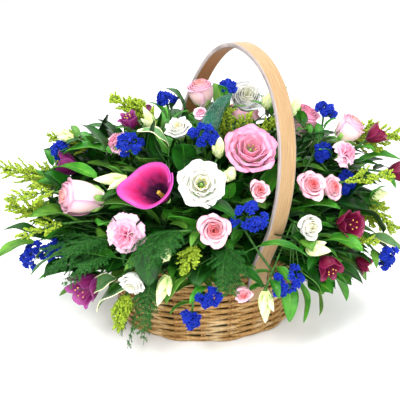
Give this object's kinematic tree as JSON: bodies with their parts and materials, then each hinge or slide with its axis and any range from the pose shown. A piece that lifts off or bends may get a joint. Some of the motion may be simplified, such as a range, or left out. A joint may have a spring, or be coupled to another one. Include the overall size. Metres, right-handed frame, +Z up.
{
  "type": "flower basket arrangement",
  "caption": "Oval woven basket with a bent-wood hoop handle, lined and filled with foam that holds roses, lisianthus, a calla, spray roses, statice, goldenrod, fern and leaves.",
  "frame": {"origin": "middle of the basket's flat underside, on the resting plane", "axes": "+X along the longer side of the arrangement, +Y to its back, +Z up; the front faces -Y"},
  "size_m": [0.5419, 0.3319, 0.3645],
  "materials": {
    "blue": "soft petal",
    "blush": "soft petal",
    "burgundy": "soft petal",
    "carnation": "soft petal",
    "coral": "soft petal",
    "fern": "soft leaf",
    "foam": "wet open-cell foam, matt",
    "leaf": "soft leaf",
    "lime": "soft leaf",
    "liner": "moulded, matt",
    "magenta": "soft petal",
    "purple": "soft petal",
    "rosePink": "soft petal",
    "white": "soft petal",
    "wicker": "woven willow, clear varnish",
    "wood": "bent ash band, satin"
  },
  "bodies": {
    "root": {"basket_body": "wicker", "basket_rim": "wicker", "handle": "wood", "liner": "liner", "foam": "foam", "rose_left": "blush", "rose_top": "blush", "rose_white": "white", "rose_right": "blush", "rose_upper_right": "rosePink", "rose_back_left": "blush", "rose_back": "rosePink", "lisianthus_front": "white", "lisianthus_pink": "rosePink", "lisianthus_right": "white", "lisianthus_low_left": "white", "lisianthus_upper_left": "white", "lisianthus_back": "white", "lisianthus_back_pink": "rosePink", "calla_front": "magenta", "spray_rose_front": "coral", "spray_rose_top": "carnation", "spray_rose_low": "coral", "spray_rose_back": "coral", "spray_roses_right": "coral", "spray_roses_centre": "coral", "carnation_left": "carnation", "carnation_upper_left": "carnation", "carnation_right": "carnation", "carnation_low_right": "carnation", "carnation_back": "carnation", "statice_left": "blue", "statice_upper_left": "blue", "statice_top": "blue", "statice_front": "blue", "statice_hanging": "blue", "statice_right": "blue", "statice_back_left": "blue", "statice_back_right": "blue", "alstroemeria_left": "purple", "alstroemeria_right": "burgundy", "alstroemeria_upper_right": "burgundy", "alstroemeria_back": "purple", "goldenrod_left": "lime", "goldenrod_upper_left": "lime", "goldenrod_right": "lime", "goldenrod_front": "lime", "goldenrod_back": "lime", "fern_left": "fern", "fern_front": "fern", "fern_low_left": "fern", "fern_back": "fern", "greens_front_left": "leaf", "greens_front": "leaf", "greens_front_right": "leaf", "greens_right": "leaf", "greens_left": "leaf", "greens_top": "leaf", "greens_back_left": "leaf", "greens_back_right": "leaf"}
  },
  "joints": []
}
